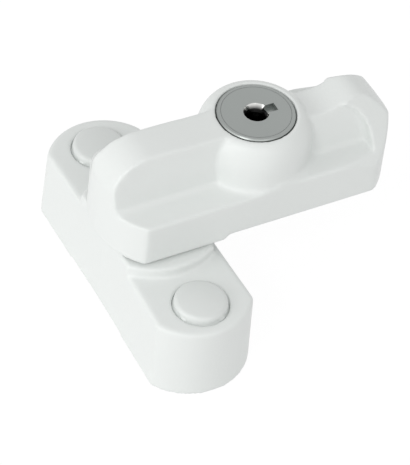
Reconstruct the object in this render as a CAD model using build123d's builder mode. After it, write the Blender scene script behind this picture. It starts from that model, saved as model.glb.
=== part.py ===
from build123d import *
import os

# Keyed sash stopper. Millimetres, +Z up. The origin is on the underside of the base, on the axis
# that the arm swings about. The base runs along Y and the arm, at rest, runs along X.

# Base casting
base_length = 55.2
base_width = 19.2
base_waist = 0.55
base_height = 14.6
base_end_radius = 11.1
base_corner_radius = 1.2
base_draft = 1.8
base_edge_radius = 0.7
hub_radius = 12.7
hub_height = 1.95
hub_flat = 7.4
hub_edge_radius = 0.5
screw_inset = 7.6
screw_hole_radius = 2.3
screw_seat_depth = 7.5

# Screw caps
cap_radius = 4.7
cap_gap = 0.25
cap_dome_height = 1.5
cap_rim_height = 1.05
cap_rim_radius = 0.9
cap_lip_drop = 0.45
cap_flange_thickness = 1.0
cap_skirt_wall = 0.9
cap_skirt_length = 3.4
cap_tab_width = 1.1
cap_tab_thickness = 0.9
cap_tab_drop = 0.12
cap_tab_angle = 25.0
cap_tab_count = 4
press_gap = 0.02

# Arm casting
arm_width = 20.8
arm_pivot_end = 10.6
arm_free_end = 43.8
arm_side_start = 6.0
arm_side_end = 38.5
arm_corner_radius = 1.0
arm_tip_corner_radius = 2.5
arm_round_corner_radius = 4.0
arm_pad_gap = 0.4
arm_pad_end = 9.3
arm_pad_step = 1.0
arm_height = 18.4
arm_pivot_nose_radius = 8.0
arm_nose_overhang = 0.15
arm_dip_place = 32.7
arm_dip_drop = 1.5
tip_crest_place = 37.6
tip_crest_drop = 0.5
tip_nose_place = 41.5
tip_nose_drop = 3.2
tip_end_drop = 6.15
tip_shoulder_drop = 10.05
tip_shoulder_fall = 0.25
pivot_spine_width = 6.9
pivot_spine_foot = 9.8
free_spine_width = 5.1
free_spine_foot = 11.0
pivot_scoop_depth = 9.8
free_scoop_depth = 9.0
scoop_end = 38.3
scoop_end_radius = 7.0
scoop_floor_radius = 1.2
pocket_start = 28.6
pocket_end = 40.4
pocket_width = 16.4
pocket_roof = 2.4
pocket_corner_radius = 2.0
tip_core_start = 33.6
tip_core_width = 5.0
tip_core_roof = 3.9

# Lock boss and lock housing
lock_offset = 18.8
boss_radius = 10.15
boss_collar_width = 3.05
boss_collar_drop = 5.5
boss_sink = 0.4
face_radius = 6.85
face_thickness = 1.5
face_edge_chamfer = 0.2
face_gap = 0.2
housing_radius = 6.0
housing_gap = 0.1
housing_tail = 1.5
clip_outer_radius = 6.9
clip_thickness = 0.6
clip_groove_depth = 0.6
clip_opening = 5.0

# Lock plug, its centre pin, its washer and its cam
plug_radius = 4.7
plug_head_radius = 6.1
plug_head_thickness = 0.8
plug_running_gap = 0.05
keyhole_radius = 1.45
keyhole_depth = 7.0
funnel_radius = 2.25
funnel_depth = 1.4
key_notch_width = 1.8
key_notch_reach = 3.8
key_notch_depth = 0.9
key_pin_radius = 0.75
key_pin_chamfer = 0.2
key_pin_drop = 3.2
key_pin_seat = 2.0
plug_washer_radius = 5.5
plug_washer_thickness = 0.4
cam_radius = 3.9
cam_thickness = 1.2
cam_square = 2.4
cam_throw = 2.05
crank_pin_radius = 0.8

# Locking bolt
bolt_width = 3.0
bolt_thickness = 1.8
bolt_side_gap = 0.25
bolt_face_gap = 0.25
bolt_tip_chamfer = 0.4
bolt_tail_length = 6.4
bolt_tail_width = 9.0
crank_slot_play = 0.6

# Pivot post and what holds it
post_neck_radius = 4.0
post_square = 5.6
post_square_height = 3.8
post_thread_radius = 2.5
post_running_gap = 0.05
post_head_radius = 5.6
post_head_height = 3.0
post_head_chamfer = 0.4
post_head_room = 0.4
head_gap = 0.3
post_notch_count = 4
post_notch_floor = 3.5
post_thread_end = 1.2
nut_recess_radius = 6.4
nut_recess_depth = 6.2
nut_across_flats = 8.0
nut_height = 3.2
flat_washer_radius = 5.4
flat_washer_thickness = 0.6
spring_washer_radius = 4.4
spring_washer_thickness = 0.7
spring_washer_split = 0.6
washer_gap = 0.15
friction_washer_radius = 5.9
friction_washer_thickness = 0.3

# Keeper plate and lock cover under the arm, and the screws that hold them
keeper_width = 15.6
keeper_thickness = 1.2
keeper_screw_reach = 5.6
cover_width = 16.2
cover_thickness = 1.0
cover_screw_reach = 6.2
plate_corner_radius = 1.6
plate_gap = 0.1
small_screw_radius = 0.9
small_screw_head_radius = 1.7
small_screw_head_height = 0.5
small_screw_length = 4.4
small_screw_slot = 0.5
small_screw_room = 0.4
screw_gap = 0.1
stop_radius = 0.75
stop_reach = 6.95
stop_drop = 1.2
stop_gap = 0.25
swing_half_range = 90.0

# Heights that follow from the sizes above
hub_top = base_height + hub_height
pad_level = hub_top + arm_pad_gap
arm_level = pad_level + arm_pad_step
arm_top = pad_level + arm_height
shoulder_level = post_square_height + nut_recess_depth
pivot_floor = arm_top - pivot_scoop_depth
free_floor = arm_top - free_scoop_depth
pocket_top = free_floor - pocket_roof
tip_core_top = arm_top - arm_dip_drop - tip_core_roof
keeper_top = pad_level + keeper_thickness
head_level = keeper_top + plate_gap
head_top = head_level + post_head_height
cover_top = arm_level + cover_thickness
bolt_level = max(cover_top, head_level) + bolt_face_gap
bolt_top = bolt_level + bolt_thickness
cam_level = bolt_top + bolt_face_gap
cam_top = cam_level + cam_thickness
housing_level = cam_top + plug_washer_thickness
housing_seat = housing_level + housing_tail
lock_top = arm_top - boss_sink
keyhole_floor = lock_top - keyhole_depth

# Places that follow from the sizes above
half_base = base_width / 2
half_arm = arm_width / 2
collar_start = boss_radius - boss_collar_width
base_end_bow = base_end_radius - (base_end_radius**2 - half_base**2) ** 0.5
screw_offset = base_length / 2 - screw_inset
screw_places = [(0, -screw_offset), (0, screw_offset)]
chamber_radius = clip_outer_radius + 0.3
bolt_tip = post_head_radius + bolt_side_gap
crank_slot_half = crank_pin_radius + crank_slot_play
cap_seat_radius = cap_radius + cap_gap
keeper_screw_places = [
    (x, y)
    for x in (-keeper_screw_reach, keeper_screw_reach)
    for y in (-keeper_screw_reach, keeper_screw_reach)
]
cover_screw_places = [
    (lock_offset + x, y)
    for x in (-cover_screw_reach, cover_screw_reach)
    for y in (-cover_screw_reach, cover_screw_reach)
]


# The plan of the base: sides that are slightly waisted, and bowed ends.
with BuildSketch() as base_plan:
    with BuildLine():
        side_end = base_length / 2 - base_end_bow
        Polyline((half_base, -side_end), (half_base - base_waist, 0), (half_base, side_end))
        ThreePointArc((half_base, side_end), (0, base_length / 2), (-half_base, side_end))
        Polyline((-half_base, side_end), (base_waist - half_base, 0), (-half_base, -side_end))
        ThreePointArc((-half_base, -side_end), (0, -base_length / 2), (half_base, -side_end))
    make_face()
    fillet(base_plan.vertices().sort_by_distance((0, 0))[2:], base_corner_radius)

# The round hub in the middle of the base, clipped to the base's width, with a flat on the side of
# the sash.
with BuildPart() as base_hub:
    extrude(base_plan.sketch, amount=hub_top, taper=base_draft)
    with BuildSketch():
        Circle(hub_radius)
        with Locations((hub_flat, 0)):
            Rectangle(hub_radius, 2 * hub_radius, align=(Align.MIN, Align.CENTER), mode=Mode.SUBTRACT)
    extrude(amount=hub_top, mode=Mode.INTERSECT)
    fillet(base_hub.faces().sort_by(Axis.Z)[-1].edges(), hub_edge_radius)

# The base: one zinc casting with a seat for each screw and, underneath, a recess for the nut.
with BuildPart() as base_body:
    extrude(base_plan.sketch, amount=base_height, taper=base_draft)
    fillet(base_body.faces().sort_by(Axis.Z)[-1].edges(), base_edge_radius)
    add(base_hub.part)
    with Locations(*[(x, y, base_height) for x, y in screw_places]):
        CounterBoreHole(screw_hole_radius, cap_seat_radius, screw_seat_depth, base_height)
    with BuildSketch():
        Circle(nut_recess_radius)
    extrude(amount=nut_recess_depth, mode=Mode.SUBTRACT)
    with BuildSketch():
        Rectangle(post_square + 2 * post_running_gap, post_square + 2 * post_running_gap)
    extrude(amount=hub_top, mode=Mode.SUBTRACT)
    with BuildSketch(Plane.XY.offset(shoulder_level)):
        Circle(post_neck_radius + post_running_gap)
    extrude(amount=base_height, mode=Mode.SUBTRACT)
    # The stop groove runs half a turn, so the stop lug ends the swing at a quarter turn each way
    with BuildSketch(Plane.XY.offset(hub_top)):
        groove = CenterArc((0, 0), stop_reach, 180 - swing_half_range, 2 * swing_half_range)
        SlotArc(groove, 2 * (stop_radius + stop_gap))
    extrude(amount=arm_pad_gap - stop_drop - stop_gap, mode=Mode.SUBTRACT)
base_body.part.label = "base_body"


# A domed plastic cap with a skirt. Its lip and four small tabs above the lip grip the seat's wall.
def screw_cap(place):
    rim_level = base_height + cap_rim_height
    lip_level = base_height - cap_lip_drop
    flange_level = lip_level - cap_flange_thickness
    lip_radius = cap_radius + cap_gap - press_gap
    with BuildPart() as cap:
        with BuildSketch(Plane.XZ):
            with BuildLine():
                dome = TangentArc((0, base_height + cap_dome_height), (cap_radius, rim_level), tangent=(1, 0))
                Polyline(
                    dome @ 1,
                    (cap_radius, lip_level),
                    (lip_radius, lip_level),
                    (lip_radius, flange_level),
                    (0, flange_level),
                    dome @ 0,
                )
            make_face()
            fillet(vertices().sort_by_distance((cap_radius, rim_level))[0], cap_rim_radius)
        revolve(axis=Axis.Z)
        with BuildSketch(Plane.XY.offset(flange_level)):
            Circle(cap_radius)
            Circle(cap_radius - cap_skirt_wall, mode=Mode.SUBTRACT)
        extrude(amount=-cap_skirt_length)
        tab_reach = cap_gap + cap_skirt_wall / 2 - press_gap
        with BuildSketch(Plane.XY.offset(base_height - cap_tab_drop)):
            with PolarLocations(cap_radius - cap_skirt_wall / 2, cap_tab_count, cap_tab_angle):
                Rectangle(tab_reach, cap_tab_width, align=(Align.MIN, Align.CENTER))
        extrude(amount=-cap_tab_thickness)
    return cap.part.moved(Location((place[0], place[1], 0)))


screw_cap_near = screw_cap(screw_places[0])
screw_cap_near.label = "screw_cap_near"
screw_cap_far = screw_cap(screw_places[1])
screw_cap_far.label = "screw_cap_far"

# The pivot post: a turned steel stud with a square shank that keeps it from turning in the base.
# Notches in its head, a quarter turn apart, take the tip of the locking bolt.
with BuildPart() as pivot_post:
    with BuildSketch(Plane.XY.offset(post_thread_end)):
        Circle(post_thread_radius)
    extrude(amount=nut_recess_depth - post_thread_end)
    with BuildSketch(Plane.XY.offset(nut_recess_depth)):
        Rectangle(post_square, post_square)
    extrude(amount=post_square_height)
    with BuildSketch(Plane.XY.offset(shoulder_level)):
        Circle(post_neck_radius)
    extrude(amount=head_level - shoulder_level)
    with BuildSketch(Plane.XY.offset(head_level)):
        Circle(post_head_radius)
    extrude(amount=post_head_height)
    chamfer(pivot_post.faces().sort_by(Axis.Z)[-1].edges(), post_head_chamfer)
    with BuildSketch(Plane.XY.offset(head_level)):
        with PolarLocations(post_notch_floor, post_notch_count):
            Rectangle(
                post_head_radius, bolt_width + 2 * bolt_side_gap, align=(Align.MIN, Align.CENTER)
            )
    extrude(amount=post_head_height, mode=Mode.SUBTRACT)
pivot_post.part.label = "pivot_post"

# The flat washer under the base's web, the split spring washer and the nut, from the top down.
with BuildPart() as flat_washer:
    with BuildSketch(Plane.XY.offset(nut_recess_depth)):
        Circle(flat_washer_radius)
        Circle(post_thread_radius + washer_gap, mode=Mode.SUBTRACT)
    extrude(amount=-flat_washer_thickness)
flat_washer.part.label = "flat_washer"

spring_level = nut_recess_depth - flat_washer_thickness
with BuildPart() as spring_washer:
    with BuildSketch(Plane.XY.offset(spring_level)):
        Circle(spring_washer_radius)
        Circle(post_thread_radius + washer_gap, mode=Mode.SUBTRACT)
        with Locations((0, spring_washer_radius)):
            Rectangle(spring_washer_split, 2 * spring_washer_radius, mode=Mode.SUBTRACT)
    extrude(amount=-spring_washer_thickness)
spring_washer.part.label = "spring_washer"

nut_level = spring_level - spring_washer_thickness
with BuildPart() as pivot_nut:
    with BuildSketch(Plane.XY.offset(nut_level)):
        RegularPolygon(nut_across_flats / 2, 6, major_radius=False)
        Circle(post_thread_radius + post_running_gap, mode=Mode.SUBTRACT)
    extrude(amount=-nut_height)
pivot_nut.part.label = "pivot_nut"

# A thin nylon washer that the arm turns on.
with BuildPart() as friction_washer:
    with BuildSketch(Plane.XY.offset(hub_top)):
        Circle(friction_washer_radius)
        Circle(post_neck_radius + washer_gap, mode=Mode.SUBTRACT)
    extrude(amount=friction_washer_thickness)
friction_washer.part.label = "friction_washer"

# The arm's spine, narrower at its top than at its foot, before its top line is cut.
with BuildPart() as spine:
    with BuildSketch(Plane.YZ.offset(-2 * arm_pivot_end)):
        Polygon(
            (pivot_spine_foot / 2, pivot_floor),
            (pivot_spine_width / 2, arm_top),
            (-pivot_spine_width / 2, arm_top),
            (-pivot_spine_foot / 2, pivot_floor),
            align=None,
        )
    extrude(amount=lock_offset + 2 * arm_pivot_end)
    with BuildSketch(Plane.YZ.offset(lock_offset)):
        Polygon(
            (free_spine_foot / 2, free_floor),
            (free_spine_width / 2, arm_top),
            (-free_spine_width / 2, arm_top),
            (-free_spine_foot / 2, free_floor),
            align=None,
        )
    extrude(amount=arm_free_end)

# The scoop on the near side between the pivot end and the boss. It runs out through the end.
with BuildPart() as pivot_scoop:
    with BuildSketch(Plane.XY.offset(pivot_floor)):
        with Locations((lock_offset, 0)):
            Rectangle(lock_offset + 2 * arm_pivot_end, arm_width, align=Align.MAX)
            Circle(boss_radius, mode=Mode.SUBTRACT)
    extrude(amount=pivot_scoop_depth)
    add(spine.part, mode=Mode.SUBTRACT)
    floor_edges = pivot_scoop.faces().sort_by(Axis.Z)[0].edges()
    foot = floor_edges.filter_by(GeomType.CIRCLE) + floor_edges.filter_by(Axis.X).sort_by(Axis.Y)[-1:]
    fillet(foot, scoop_floor_radius)

# The scoop between the boss and the free end. Its floor sweeps up into the end wall.
with BuildPart() as free_scoop:
    with BuildSketch(Plane.XZ) as free_side:
        with Locations((lock_offset, free_floor)):
            Rectangle(scoop_end - lock_offset, free_scoop_depth, align=Align.MIN)
        lower_end = free_side.vertices().group_by(Axis.Z)[0].sort_by(Axis.X)[-1]
        fillet(lower_end, scoop_end_radius)
    extrude(amount=arm_width)
    with BuildSketch(Plane.XY.offset(free_floor)):
        with Locations((lock_offset, 0)):
            Circle(boss_radius)
    extrude(amount=free_scoop_depth, mode=Mode.SUBTRACT)
    add(spine.part, mode=Mode.SUBTRACT)
    boss_foot = free_scoop.faces().sort_by(Axis.Z)[0].edges().filter_by(GeomType.CIRCLE)
    spine_foot = free_scoop.faces().sort_by(Axis.Y)[-1].edges().filter_by(
        lambda edge: edge.center().X > lock_offset + boss_radius and edge.center().Z < arm_top
    )
    fillet(boss_foot + spine_foot, scoop_floor_radius)

# The round boss for the lock. Its collar curves down from the lock face to the side.
with BuildPart() as lock_boss:
    with BuildSketch(Plane.XZ):
        with BuildLine():
            collar_foot = (collar_start, lock_top - boss_collar_drop)
            collar = EllipticalCenterArc(collar_foot, boss_collar_width, boss_collar_drop)
            Polyline(collar @ 1, (0, lock_top), (0, arm_level), (boss_radius, arm_level), collar @ 0)
        make_face()
    revolve(axis=Axis.Z)

# The room around the boss and beside the spine, above the foot of the collar.
with BuildPart() as boss_room:
    with BuildSketch(Plane.XY.offset(lock_top - boss_collar_drop)):
        with Locations((lock_offset, 0)):
            Circle(boss_radius)
    extrude(amount=boss_collar_drop + boss_sink)
    add(spine.part, mode=Mode.SUBTRACT)

# The arm: one casting with a spine, four finger scoops and a round boss for the lock. Its pivot end
# has one square corner and one corner rounded about the pivot.
with BuildPart() as arm_body:
    with BuildSketch(Plane.XY.offset(pad_level)) as arm_plan:
        with BuildLine():
            Line((-arm_side_start, -half_arm), (arm_side_end, -half_arm))
            ThreePointArc((arm_side_end, -half_arm), (arm_free_end, 0), (arm_side_end, half_arm))
            Line((arm_side_end, half_arm), (-arm_side_start, half_arm))
            ThreePointArc((-arm_side_start, half_arm), (-arm_pivot_end, 0), (-arm_side_start, -half_arm))
        make_face()
        fillet(arm_plan.vertices().filter_by_position(Axis.X, 0, arm_free_end), arm_tip_corner_radius)
        fillet(arm_plan.vertices().sort_by_distance((-arm_side_start, -half_arm))[0], arm_corner_radius)
        fillet(arm_plan.vertices().sort_by_distance((-arm_side_start, half_arm))[0], arm_round_corner_radius)
    extrude(amount=arm_height)
    with BuildSketch(Plane.XZ):
        with BuildLine():
            top_line = Spline(
                (arm_free_end + arm_nose_overhang, arm_top - tip_end_drop),
                (tip_nose_place, arm_top - tip_nose_drop),
                (tip_crest_place, arm_top - tip_crest_drop),
                (arm_dip_place, arm_top - arm_dip_drop),
                (lock_offset + collar_start, lock_top),
            )
            back_x = arm_pivot_nose_radius - arm_pivot_end - arm_nose_overhang
            back = CenterArc((back_x, arm_top - arm_pivot_nose_radius), arm_pivot_nose_radius, 90, 90)
            Line(top_line @ 1, (lock_offset - collar_start, lock_top))
            Spline((lock_offset - collar_start, lock_top), back @ 0, tangents=[(-1, 0), (-1, 0)])
            Polyline(
                back @ 1,
                (-arm_pivot_end - arm_nose_overhang, pad_level),
                (arm_pad_end, pad_level),
                (arm_pad_end + arm_pad_step, arm_level),
                (arm_free_end + arm_nose_overhang, arm_level),
                top_line @ 0,
            )
        make_face()
    extrude(amount=arm_width, both=True, mode=Mode.INTERSECT)
    # Sloping shoulders on both sides of the spine, which fall away towards the free end
    with BuildSketch(Plane.YZ.offset(arm_free_end)):
        shoulder_top = arm_top - tip_crest_drop - tip_shoulder_fall * (arm_free_end - tip_crest_place)
        Polygon(
            (free_spine_width / 2, shoulder_top),
            (half_arm, shoulder_top - tip_shoulder_drop),
            (arm_width, shoulder_top - tip_shoulder_drop),
            (arm_width, arm_top),
            (free_spine_width / 2, arm_top),
            align=None,
        )
        mirror(about=Plane.YZ)
    extrude(amount=arm_free_end - lock_offset, dir=(-1, 0, tip_shoulder_fall), mode=Mode.SUBTRACT)
    add(pivot_scoop.part, mode=Mode.SUBTRACT)
    mirror(pivot_scoop.part, about=Plane.XZ, mode=Mode.SUBTRACT)
    add(free_scoop.part, mode=Mode.SUBTRACT)
    mirror(free_scoop.part, about=Plane.XZ, mode=Mode.SUBTRACT)
    # The boss takes the place of what is left of the block around the lock
    add(boss_room.part, mode=Mode.SUBTRACT)
    with Locations((lock_offset, 0)):
        add(lock_boss.part)
    # The bore for the lock housing, with the counterbore for its face and a ledge for its clip
    with BuildSketch(Plane.XY.offset(lock_top)):
        with Locations((lock_offset, 0)):
            Circle(face_radius + face_gap)
    extrude(amount=-face_thickness, mode=Mode.SUBTRACT)
    with BuildSketch(Plane.XY.offset(arm_level)):
        with Locations((lock_offset, 0)):
            Circle(housing_radius + housing_gap)
    extrude(amount=arm_height, mode=Mode.SUBTRACT)
    with BuildSketch(Plane.XY.offset(arm_level)):
        with Locations((lock_offset, 0)):
            Circle(chamber_radius)
    extrude(amount=housing_seat - arm_level, mode=Mode.SUBTRACT)
    # The chamber for the post's head and the tunnel that the locking bolt slides in
    with BuildSketch(Plane.XY.offset(pad_level)):
        Circle(post_head_radius + post_head_room)
    extrude(amount=head_top + head_gap - pad_level, mode=Mode.SUBTRACT)
    with BuildSketch(Plane.XY.offset(bolt_level - bolt_face_gap)):
        tunnel_width = bolt_width + 2 * bolt_side_gap
        Rectangle(lock_offset, tunnel_width, align=(Align.MIN, Align.CENTER))
    extrude(amount=bolt_thickness + 2 * bolt_face_gap, mode=Mode.SUBTRACT)
    # Recesses for the two plates, and the screw holes above them
    with BuildSketch(Plane.XY.offset(pad_level)):
        RectangleRounded(keeper_width + 2 * plate_gap, keeper_width + 2 * plate_gap, plate_corner_radius)
    extrude(amount=keeper_thickness, mode=Mode.SUBTRACT)
    with BuildSketch(Plane.XY.offset(arm_level)):
        with Locations((lock_offset, 0)):
            RectangleRounded(cover_width + 2 * plate_gap, cover_width + 2 * plate_gap, plate_corner_radius)
    extrude(amount=cover_thickness, mode=Mode.SUBTRACT)
    for places, level in ((keeper_screw_places, pad_level), (cover_screw_places, arm_level)):
        with BuildSketch(Plane.XY.offset(level)):
            with Locations(*places):
                Circle(small_screw_radius + press_gap)
        extrude(amount=small_screw_length + small_screw_room, mode=Mode.SUBTRACT)
    # Pockets that keep the free end light
    with BuildSketch(Plane.XY.offset(arm_level)):
        with Locations((pocket_start, 0)):
            pocket_size = (pocket_end - pocket_start, pocket_width)
            Rectangle(*pocket_size, align=(Align.MIN, Align.CENTER))
        fillet(vertices(), pocket_corner_radius)
    extrude(amount=pocket_top - arm_level, mode=Mode.SUBTRACT)
    with BuildSketch(Plane.XY.offset(arm_level)):
        with Locations((tip_core_start, 0)):
            Rectangle(pocket_end - tip_core_start, tip_core_width, align=(Align.MIN, Align.CENTER))
    extrude(amount=tip_core_top - arm_level, mode=Mode.SUBTRACT)
arm_body.part.label = "arm_body"

# The keeper plate holds the arm down under the post's head. The lug on it runs in the groove of the
# hub and stops the arm a quarter turn each way.
with BuildPart() as keeper_plate:
    with BuildSketch(Plane.XY.offset(pad_level)):
        RectangleRounded(keeper_width, keeper_width, plate_corner_radius)
        Circle(post_neck_radius + post_running_gap, mode=Mode.SUBTRACT)
        with Locations(*keeper_screw_places):
            Circle(small_screw_radius + screw_gap, mode=Mode.SUBTRACT)
    extrude(amount=keeper_thickness)
    with BuildSketch(Plane.XY.offset(pad_level)):
        with Locations(*keeper_screw_places):
            Circle(small_screw_head_radius + screw_gap)
    extrude(amount=small_screw_head_height, mode=Mode.SUBTRACT)
    with BuildSketch(Plane.XY.offset(pad_level)):
        with Locations((-stop_reach, 0)):
            Circle(stop_radius)
    extrude(amount=-stop_drop)
keeper_plate.part.label = "keeper_plate"

# The cover closes the chamber under the lock and carries the tail of the locking bolt.
with BuildPart() as lock_cover:
    with BuildSketch(Plane.XY.offset(arm_level)):
        with Locations((lock_offset, 0)):
            RectangleRounded(cover_width, cover_width, plate_corner_radius)
        with Locations(*cover_screw_places):
            Circle(small_screw_radius + screw_gap, mode=Mode.SUBTRACT)
    extrude(amount=cover_thickness)
    with BuildSketch(Plane.XY.offset(arm_level)):
        with Locations(*cover_screw_places):
            Circle(small_screw_head_radius + screw_gap)
    extrude(amount=small_screw_head_height, mode=Mode.SUBTRACT)
lock_cover.part.label = "lock_cover"


# Four slotted screws, heads down, whose heads sit flush in a plate at the given level.
def small_screws(places, level):
    with BuildPart() as screws:
        with BuildSketch(Plane.XY.offset(level)):
            with Locations(*places):
                Circle(small_screw_head_radius)
        extrude(amount=small_screw_head_height)
        with BuildSketch(Plane.XY.offset(level)):
            with Locations(*places):
                Circle(small_screw_radius)
        extrude(amount=small_screw_length)
        with BuildSketch(Plane.XY.offset(level)):
            with Locations(*places):
                Rectangle(2 * small_screw_head_radius, small_screw_slot)
        extrude(amount=small_screw_head_height / 2, mode=Mode.SUBTRACT)
    return screws.part


keeper_screws = small_screws(keeper_screw_places, pad_level)
keeper_screws.label = "keeper_screws"
cover_screws = small_screws(cover_screw_places, arm_level)
cover_screws.label = "cover_screws"

# The lock housing: a turned barrel with a flange that shows as the round lock face.
with BuildPart() as lock_housing:
    with BuildSketch(Plane.XY.offset(housing_level)):
        with Locations((lock_offset, 0)):
            Circle(housing_radius)
    extrude(amount=lock_top - housing_level)
    with BuildSketch(Plane.XY.offset(lock_top)):
        with Locations((lock_offset, 0)):
            Circle(face_radius)
    extrude(amount=-face_thickness)
    chamfer(lock_housing.faces().sort_by(Axis.Z)[-1].edges(), face_edge_chamfer)
    with BuildSketch(Plane.XY.offset(housing_level)):
        with Locations((lock_offset, 0)):
            Circle(plug_radius + plug_running_gap)
    extrude(amount=lock_top - housing_level, mode=Mode.SUBTRACT)
    with BuildSketch(Plane.XY.offset(lock_top)):
        with Locations((lock_offset, 0)):
            Circle(plug_head_radius + plug_running_gap)
    extrude(amount=-plug_head_thickness - plug_running_gap, mode=Mode.SUBTRACT)
    with BuildSketch(Plane.XY.offset(housing_seat)):
        with Locations((lock_offset, 0)):
            Circle(housing_radius)
            Circle(housing_radius - clip_groove_depth, mode=Mode.SUBTRACT)
    extrude(amount=-clip_thickness - press_gap, mode=Mode.SUBTRACT)
lock_housing.part.label = "lock_housing"

# An open spring clip in the groove of the housing holds it up against the ledge.
with BuildPart() as housing_clip:
    with BuildSketch(Plane.XY.offset(housing_seat)):
        with Locations((lock_offset, 0)):
            Circle(clip_outer_radius)
            Circle(housing_radius - clip_groove_depth + press_gap, mode=Mode.SUBTRACT)
            Rectangle(clip_outer_radius, clip_opening, align=(Align.MIN, Align.CENTER), mode=Mode.SUBTRACT)
    extrude(amount=-clip_thickness)
housing_clip.part.label = "housing_clip"

# The lock plug: a head in the housing's face, a round barrel, and a square tail for the cam.
with BuildPart() as lock_plug:
    with BuildSketch(Plane.XY.offset(housing_level)):
        with Locations((lock_offset, 0)):
            Circle(plug_radius)
    extrude(amount=lock_top - housing_level)
    with BuildSketch(Plane.XY.offset(lock_top)):
        with Locations((lock_offset, 0)):
            Circle(plug_head_radius)
    extrude(amount=-plug_head_thickness)
    with BuildSketch(Plane.XY.offset(housing_level)):
        with Locations((lock_offset, 0)):
            Rectangle(cam_square, cam_square)
    extrude(amount=cam_level - housing_level)
    # The keyhole: a funnel over a round hole, a shallow notch for the key's bit, and a hole for the
    # centre pin in the floor
    with BuildSketch(Plane.XY.offset(lock_top)):
        with Locations((lock_offset, 0)):
            Circle(keyhole_radius)
    extrude(amount=-keyhole_depth, mode=Mode.SUBTRACT)
    with Locations((lock_offset, 0, lock_top)):
        funnel_align = (Align.CENTER, Align.CENTER, Align.MAX)
        Cone(keyhole_radius, funnel_radius, funnel_depth, align=funnel_align, mode=Mode.SUBTRACT)
    with BuildSketch(Plane.XY.offset(lock_top)):
        with Locations((lock_offset, 0)):
            Rectangle(key_notch_reach, key_notch_width, align=(Align.MIN, Align.CENTER))
    extrude(amount=-key_notch_depth, mode=Mode.SUBTRACT)
    with BuildSketch(Plane.XY.offset(keyhole_floor)):
        with Locations((lock_offset, 0)):
            Circle(key_pin_radius + press_gap)
    extrude(amount=-key_pin_seat, mode=Mode.SUBTRACT)
lock_plug.part.label = "lock_plug"

# The pin in the middle of the keyhole.
with BuildPart() as key_pin:
    with BuildSketch(Plane.XY.offset(keyhole_floor - key_pin_seat)):
        with Locations((lock_offset, 0)):
            Circle(key_pin_radius)
    extrude(amount=keyhole_depth + key_pin_seat - key_pin_drop)
    chamfer(key_pin.faces().sort_by(Axis.Z)[-1].edges(), key_pin_chamfer)
key_pin.part.label = "key_pin"

# The washer between the housing and the cam, with a square hole that turns it with the plug.
with BuildPart() as plug_washer:
    with BuildSketch(Plane.XY.offset(cam_top)):
        with Locations((lock_offset, 0)):
            Circle(plug_washer_radius)
            Rectangle(cam_square + 2 * press_gap, cam_square + 2 * press_gap, mode=Mode.SUBTRACT)
    extrude(amount=plug_washer_thickness)
plug_washer.part.label = "plug_washer"

# The cam, with the crank pin that drives the bolt.
with BuildPart() as lock_cam:
    with BuildSketch(Plane.XY.offset(cam_level)):
        with Locations((lock_offset, 0)):
            Circle(cam_radius)
            Rectangle(cam_square + 2 * press_gap, cam_square + 2 * press_gap, mode=Mode.SUBTRACT)
    extrude(amount=cam_thickness)
    with BuildSketch(Plane.XY.offset(bolt_level)):
        with Locations((lock_offset, cam_throw)):
            Circle(crank_pin_radius)
    extrude(amount=cam_level - bolt_level)
lock_cam.part.label = "lock_cam"

# The locking bolt: a flat bar with a slotted tail around the crank pin.
with BuildPart() as locking_bolt:
    with BuildSketch(Plane.XY.offset(bolt_level)):
        with Locations((bolt_tip, 0)):
            Rectangle(lock_offset - bolt_tip, bolt_width, align=(Align.MIN, Align.CENTER))
        with Locations((lock_offset, 0)):
            Rectangle(bolt_tail_length, bolt_tail_width)
            slot_length = 2 * (cam_throw + crank_pin_radius + bolt_side_gap)
            Rectangle(2 * crank_slot_half, slot_length, mode=Mode.SUBTRACT)
    extrude(amount=bolt_thickness)
    chamfer(locking_bolt.faces().sort_by(Axis.X)[0].edges().filter_by(Axis.Z), bolt_tip_chamfer)
locking_bolt.part.label = "locking_bolt"

os.makedirs("parts", exist_ok=True)
export_step(base_body.part, "parts/base_body.step")
export_step(screw_cap_near, "parts/screw_cap_near.step")
export_step(screw_cap_far, "parts/screw_cap_far.step")
export_step(pivot_post.part, "parts/pivot_post.step")
export_step(flat_washer.part, "parts/flat_washer.step")
export_step(spring_washer.part, "parts/spring_washer.step")
export_step(pivot_nut.part, "parts/pivot_nut.step")
export_step(friction_washer.part, "parts/friction_washer.step")
export_step(arm_body.part, "parts/arm_body.step")
export_step(keeper_plate.part, "parts/keeper_plate.step")
export_step(keeper_screws, "parts/keeper_screws.step")
export_step(lock_cover.part, "parts/lock_cover.step")
export_step(cover_screws, "parts/cover_screws.step")
export_step(lock_housing.part, "parts/lock_housing.step")
export_step(housing_clip.part, "parts/housing_clip.step")
export_step(lock_plug.part, "parts/lock_plug.step")
export_step(key_pin.part, "parts/key_pin.step")
export_step(plug_washer.part, "parts/plug_washer.step")
export_step(lock_cam.part, "parts/lock_cam.step")
export_step(locking_bolt.part, "parts/locking_bolt.step")
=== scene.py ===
import bpy
import math
from mathutils import Matrix, Vector

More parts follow.
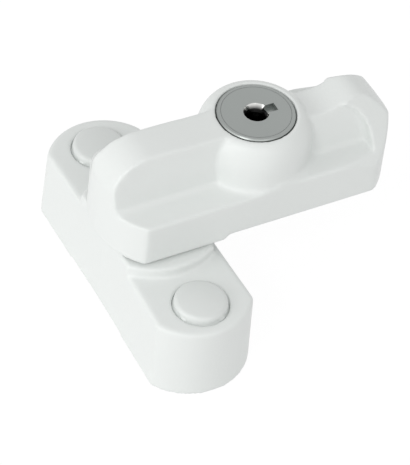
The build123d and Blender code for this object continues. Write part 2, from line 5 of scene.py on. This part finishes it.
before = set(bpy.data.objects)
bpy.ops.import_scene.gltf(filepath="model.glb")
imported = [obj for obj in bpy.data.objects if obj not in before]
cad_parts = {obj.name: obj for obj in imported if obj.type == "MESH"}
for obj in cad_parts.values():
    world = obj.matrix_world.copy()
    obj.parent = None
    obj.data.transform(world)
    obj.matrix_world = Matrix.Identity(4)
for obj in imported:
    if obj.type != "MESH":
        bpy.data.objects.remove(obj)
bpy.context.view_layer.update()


# The camera looks down on the near end of the base from its left, as in the photograph, and is
# turned a little about its own axis, as the photograph is.
def place_camera(azimuth, elevation, roll, shift, distance, sensor_width, lens):
    """The camera's own axes are worked out from its three angles: back points from the object to the
    camera, and right and up are turned about back by the roll. From the object's origin the camera
    stands at shift to the right and up, and at distance back."""
    back = Vector((
        math.sin(azimuth) * math.cos(elevation),
        -math.cos(azimuth) * math.cos(elevation),
        math.sin(elevation),
    ))
    level = Vector((math.cos(azimuth), math.sin(azimuth), 0))
    upward = back.cross(level)
    right = level * math.cos(roll) + upward * math.sin(roll)
    up = upward * math.cos(roll) - level * math.sin(roll)
    turn = Matrix((right, up, back)).transposed()
    data = bpy.data.cameras.new("camera")
    data.sensor_width = sensor_width
    data.lens = lens
    data.clip_start = 0.01
    camera = bpy.data.objects.new("camera", data)
    bpy.context.collection.objects.link(camera)
    camera.location = turn @ Vector((shift[0], shift[1], distance))
    camera.rotation_euler = turn.to_euler()
    bpy.context.scene.camera = camera


sensor_width = 36.0
photo_height = 465
focal_length_in_pixels = 3321.913
place_camera(
    azimuth=math.radians(-32.165),
    elevation=math.radians(46.271),
    roll=math.radians(7.274),
    shift=(0.010999, 0.008557),
    distance=0.585544,
    sensor_width=sensor_width,
    lens=focal_length_in_pixels * sensor_width / photo_height,
)


# The base and the arm are zinc alloy castings, cast in two halves and tumbled, under a white powder
# coat. The coat is sprayed on and baked, so it rounds every edge and keeps a faint skin like an
# orange's, with slow changes of tone where it lies thicker.
class Value:
    """One output of a node in a material. Sums with values add the Math nodes that work them out."""

    def __init__(self, finish, socket):
        self.finish = finish
        self.socket = socket

    def maths(self, operation, first, second):
        return self.finish.node("ShaderNodeMath", {"operation": operation}, {0: first, 1: second})

    def __add__(self, other):
        return self.maths("ADD", self, other)

    __radd__ = __add__

    def __rsub__(self, other):
        return self.maths("SUBTRACT", other, self)

    def __mul__(self, other):
        return self.maths("MULTIPLY", self, other)

    __rmul__ = __mul__

    def at_most(self, other):
        return self.maths("MINIMUM", self, other)

    def limited(self):
        """The value kept between 0 and 1."""
        return self.maths("MAXIMUM", self, 0.0).at_most(1.0)


class Finish:
    """One material, or the world's own, with one method that makes any node."""

    def __init__(self, name, owner=None):
        self.owner = owner or bpy.data.materials.new(name)
        self.owner.use_nodes = True
        self.tree = self.owner.node_tree
        self.tree.nodes.clear()

    def node(self, kind, settings=None, inputs=None, output=0):
        """Makes a node, gives it its settings first, then the values or links of its sockets. The
        answer is the named or numbered output as a value."""
        made = self.tree.nodes.new(kind)
        for name, setting in (settings or {}).items():
            setattr(made, name, setting)
        for name, given in (inputs or {}).items():
            if isinstance(given, Value):
                self.tree.links.new(given.socket, made.inputs[name])
            else:
                made.inputs[name].default_value = given
        return Value(self, made.outputs[output]) if made.outputs else None

    def place(self, centre=(0, 0, 0), scale=(1, 1, 1)):
        """Object coordinates, moved so that centre is at zero and then multiplied by scale."""
        spot = self.node("ShaderNodeTexCoord", output="Object")
        moved = self.node("ShaderNodeVectorMath", {"operation": "SUBTRACT"}, {0: spot, 1: centre})
        return self.node("ShaderNodeVectorMath", {"operation": "MULTIPLY"}, {0: moved, 1: scale})

    def noise(self, place, scale, detail=2.0):
        """A cloudy value about 0.5, with scale patches to the metre."""
        return self.node("ShaderNodeTexNoise", None, {"Vector": place, "Scale": scale, "Detail": detail})

    def blend(self, amount, first, second):
        """The colour that goes from first to second as amount goes from 0 to 1."""
        return self.node("ShaderNodeMix", {"data_type": "RGBA"}, {0: amount, 6: first, 7: second}, 2)

    def bump(self, height, strength, distance, onto=None):
        """The normal of a skin that stands out by height times distance, on top of another's normal."""
        inputs = {"Height": height, "Strength": strength, "Distance": distance}
        if onto is not None:
            inputs["Normal"] = onto
        return self.node("ShaderNodeBump", None, inputs)

    def surface(self, **sockets):
        """Puts the values into the shader's sockets of the same names and ends the material."""
        inputs = {name.replace("_", " "): given for name, given in sockets.items()}
        shader = self.node("ShaderNodeBsdfPrincipled", None, inputs)
        self.node("ShaderNodeOutputMaterial", None, {"Surface": shader})
        return self.owner


def darker(colour, share):
    return (colour[0] * share, colour[1] * share, colour[2] * share, 1)


def powder_coat(name, colour):
    finish = Finish(name)
    place = finish.place()
    cloud = finish.noise(place, scale=55.0, detail=3.0)
    peel = finish.noise(place, scale=1500.0)
    grain = finish.noise(place, scale=5200.0)
    skin = finish.bump(peel, strength=0.10, distance=0.0002)
    return finish.surface(
        Base_Color=finish.blend(cloud, darker(colour, share=0.98), colour),
        Roughness=0.33 + 0.08 * cloud + 0.06 * grain,
        Normal=finish.bump(grain, strength=0.05, distance=0.00005, onto=skin),
    )


def soften(name, square, passes):
    """A fine even net of squares is laid over the piece and relaxed, which rounds each edge by about
    two squares, as a coat or a mould does."""
    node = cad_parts[name]
    net = node.modifiers.new("net", "REMESH")
    net.mode = "VOXEL"
    net.voxel_size = square
    net.use_smooth_shade = True
    relax = node.modifiers.new("relax", "SMOOTH")
    relax.factor = 0.5
    relax.iterations = passes


def dress(names, material):
    """Puts the material in every slot of the named CAD nodes."""
    for name in names:
        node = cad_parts[name]
        if not node.data.materials:
            node.data.materials.append(material)
        for slot in node.material_slots:
            slot.material = material


castings = ["base_body", "arm_body"]
dress(castings, powder_coat("white_powder_coat", colour=(0.80, 0.825, 0.81, 1)))
for casting in castings:
    soften(casting, square=0.0003, passes=6)


# The two caps are injection moulded in white plastic, a little greyer and smoother than the coat,
# with the faint texture of the mould. They are pushed into the screw seats by hand.
def moulded_plastic(name, colour):
    finish = Finish(name)
    place = finish.place()
    cloud = finish.noise(place, scale=90.0)
    mould = finish.noise(place, scale=2600.0)
    return finish.surface(
        Base_Color=finish.blend(cloud, colour, darker(colour, share=0.98)),
        Roughness=0.30 + 0.08 * cloud,
        Normal=finish.bump(mould, strength=0.04, distance=0.0001),
    )


caps = ["screw_cap_near", "screw_cap_far"]
dress(caps, moulded_plastic("cap_plastic", colour=(0.74, 0.765, 0.75, 1)))
for cap in caps:
    soften(cap, square=0.00015, passes=2)


# The lock face and the plug in its middle are turned brass under a satin nickel plate. The tool
# leaves fine rings about the lock's axis. The mouth of the keyhole is polished smooth, and its colour
# is a painted reflection; further down the hole the colour is painted shade, darker with depth.
def turned_nickel(name, satin, bright, painted_hole_shade, lock_face, ring_width, funnel_radius, funnel_depth):
    """The rings are a wave of the distance from the upright axis through lock_face, the middle of the
    face. The funnel is where that distance is less than the funnel's radius, with a soft edge. Its colour
    is a painted reflection at the face, going into painted shade down to the funnel's depth."""
    finish = Finish(name)
    across = finish.place((lock_face[0], lock_face[1], 0), (1, 1, 0))
    radius = finish.node("ShaderNodeVectorMath", {"operation": "LENGTH"}, {0: across}, "Value")
    rings = finish.node("ShaderNodeMath", {"operation": "SINE"}, {0: radius * (2 * math.pi / ring_width)})
    uneven = finish.noise(finish.place(), scale=420.0, detail=3.0)
    cloud = finish.noise(finish.place(), scale=60.0)
    soft_edge = 0.00008
    funnel = ((funnel_radius - radius) * (1 / soft_edge)).limited()
    below = finish.place(lock_face, (0, 0, -1 / funnel_depth))
    depth = finish.node("ShaderNodeSeparateXYZ", None, {0: below}, "Z").limited()
    plate = finish.blend(cloud, satin, darker(satin, share=0.85))
    return finish.surface(
        # The keyhole's colour is painted light and shade: a painted reflection at its mouth, painted
        # shade deeper down.
        Base_Color=finish.blend(funnel, plate, finish.blend(depth, bright, painted_hole_shade)),
        Metallic=1.0,
        Roughness=(0.30 + 0.12 * uneven) * (1 - funnel) + 0.14 * funnel,
        Normal=finish.bump(rings * 0.5 + uneven, strength=0.08, distance=0.00002),
    )


nickel = turned_nickel(
    "satin_nickel",
    satin=(0.36, 0.38, 0.37, 1),
    # The keyhole's two colours: a painted reflection at its mouth and painted shade down the hole.
    bright=(0.88, 0.88, 0.86, 1),
    painted_hole_shade=(0.02, 0.02, 0.02, 1),
    lock_face=(0.0188, 0.0, 0.03495),
    ring_width=0.00016,
    funnel_radius=0.00226,
    funnel_depth=0.0009,
)
dress(["lock_housing", "lock_plug"], nickel)


# The pivot post, its nut and washers, the two plates, the small screws, the clip, the cam and the
# bolt are steel under a bright zinc plate, with faint marks of rolling and cutting. The pin in the
# keyhole is plated with nickel, as the lock is, and is coloured darker than the lock's plate.
def plated_steel(name, colour):
    finish = Finish(name)
    drawn = finish.noise(finish.place(scale=(0.2, 1, 1)), scale=1400.0, detail=3.0)
    spangle = finish.noise(finish.place(), scale=260.0)
    return finish.surface(
        Base_Color=finish.blend(spangle, colour, darker(colour, share=0.86)),
        Metallic=1.0,
        Roughness=0.28 + 0.16 * spangle,
        Normal=finish.bump(drawn, strength=0.1, distance=0.00003),
    )


dress(
    [
        "pivot_post", "flat_washer", "spring_washer", "pivot_nut", "keeper_plate", "keeper_screws",
        "lock_cover", "cover_screws", "housing_clip", "plug_washer", "lock_cam", "locking_bolt",
    ],
    plated_steel("bright_zinc_plate", colour=(0.62, 0.63, 0.65, 1)),
)
dress(["key_pin"], plated_steel("dull_nickel_plate", colour=(0.30, 0.31, 0.31, 1)))


# The friction washer lies on the hub of the base, and the arm turns on it. It is punched from a
# sheet of natural nylon, which has the same faint skin as the caps.
dress(["friction_washer"], moulded_plastic("natural_nylon", colour=(0.78, 0.77, 0.70, 1)))


# The floor is a pale sheet that looks white to the camera and in reflections, and takes the faintest
# shadow of the stopper.
def in_sight(finish):
    """1 for a ray of the camera, of a reflection or through glass, and 0 for a ray of the light."""
    seen = finish.node("ShaderNodeLightPath", output="Is Camera Ray")
    mirrored = finish.node("ShaderNodeLightPath", output="Is Glossy Ray")
    through = finish.node("ShaderNodeLightPath", output="Is Transmission Ray")
    return (seen + mirrored + through).at_most(1.0)


def pale_floor(name, half, level, paper_colour, white_strength, white_share):
    """What the camera and the reflections see is the white by its share, and paper for the rest."""
    corners = [(-half, -half, level), (half, -half, level), (half, half, level), (-half, half, level)]
    mesh = bpy.data.meshes.new(name)
    mesh.from_pydata(corners, [], [(0, 1, 2, 3)])
    sheet = bpy.data.objects.new(name, mesh)
    bpy.context.collection.objects.link(sheet)
    finish = Finish(name)
    paper = finish.node("ShaderNodeBsdfDiffuse", None, {"Color": paper_colour})
    glow = {"Color": (1, 1, 1, 1), "Strength": white_strength}
    white = finish.node("ShaderNodeEmission", None, glow)
    shown = in_sight(finish) * white_share
    mixed = finish.node("ShaderNodeMixShader", None, {0: shown, 1: paper, 2: white})
    finish.node("ShaderNodeOutputMaterial", None, {"Surface": mixed})
    mesh.materials.append(finish.owner)


pale_floor(
    "floor",
    half=3.0,
    level=-0.00005,
    paper_colour=(0.85, 0.85, 0.85, 1),
    white_strength=1.06,
    white_share=0.88,
)


# The light is that of a white room, with a small soft key lamp on the left in front, a larger one
# low on the left and another in front.
def soft_lamp(name, towards, size, power):
    """A square lamp at lamp_distance in the direction towards, seen from the middle of the stopper."""
    middle = Vector((0.012, 0, 0.02))
    lamp_distance = 0.9
    data = bpy.data.lights.new(name, "AREA")
    data.shape = "SQUARE"
    data.size = size
    data.energy = power
    lamp = bpy.data.objects.new(name, data)
    bpy.context.collection.objects.link(lamp)
    direction = Vector(towards).normalized()
    lamp.location = direction * lamp_distance + middle
    lamp.rotation_euler = direction.to_track_quat("Z", "Y").to_euler()


soft_lamp("low_left_lamp", towards=(-0.966, 0, 0.259), size=0.5, power=2.2)
soft_lamp("key_lamp", towards=(-0.623, -0.405, 0.669), size=0.2, power=1.27)
soft_lamp("front_lamp", towards=(-0.071, -0.816, 0.574), size=0.5, power=0.85)

room_light = 0.635
room = Finish("room", bpy.data.worlds.new("room"))
room_glow = room_light + (1 - room_light) * in_sight(room)
walls = room.node("ShaderNodeBackground", None, {"Color": (1, 1, 1, 1), "Strength": room_glow})
room.node("ShaderNodeOutputWorld", None, {"Surface": walls})
bpy.context.scene.world = room.owner
bpy.context.scene.view_settings.view_transform = "Standard"
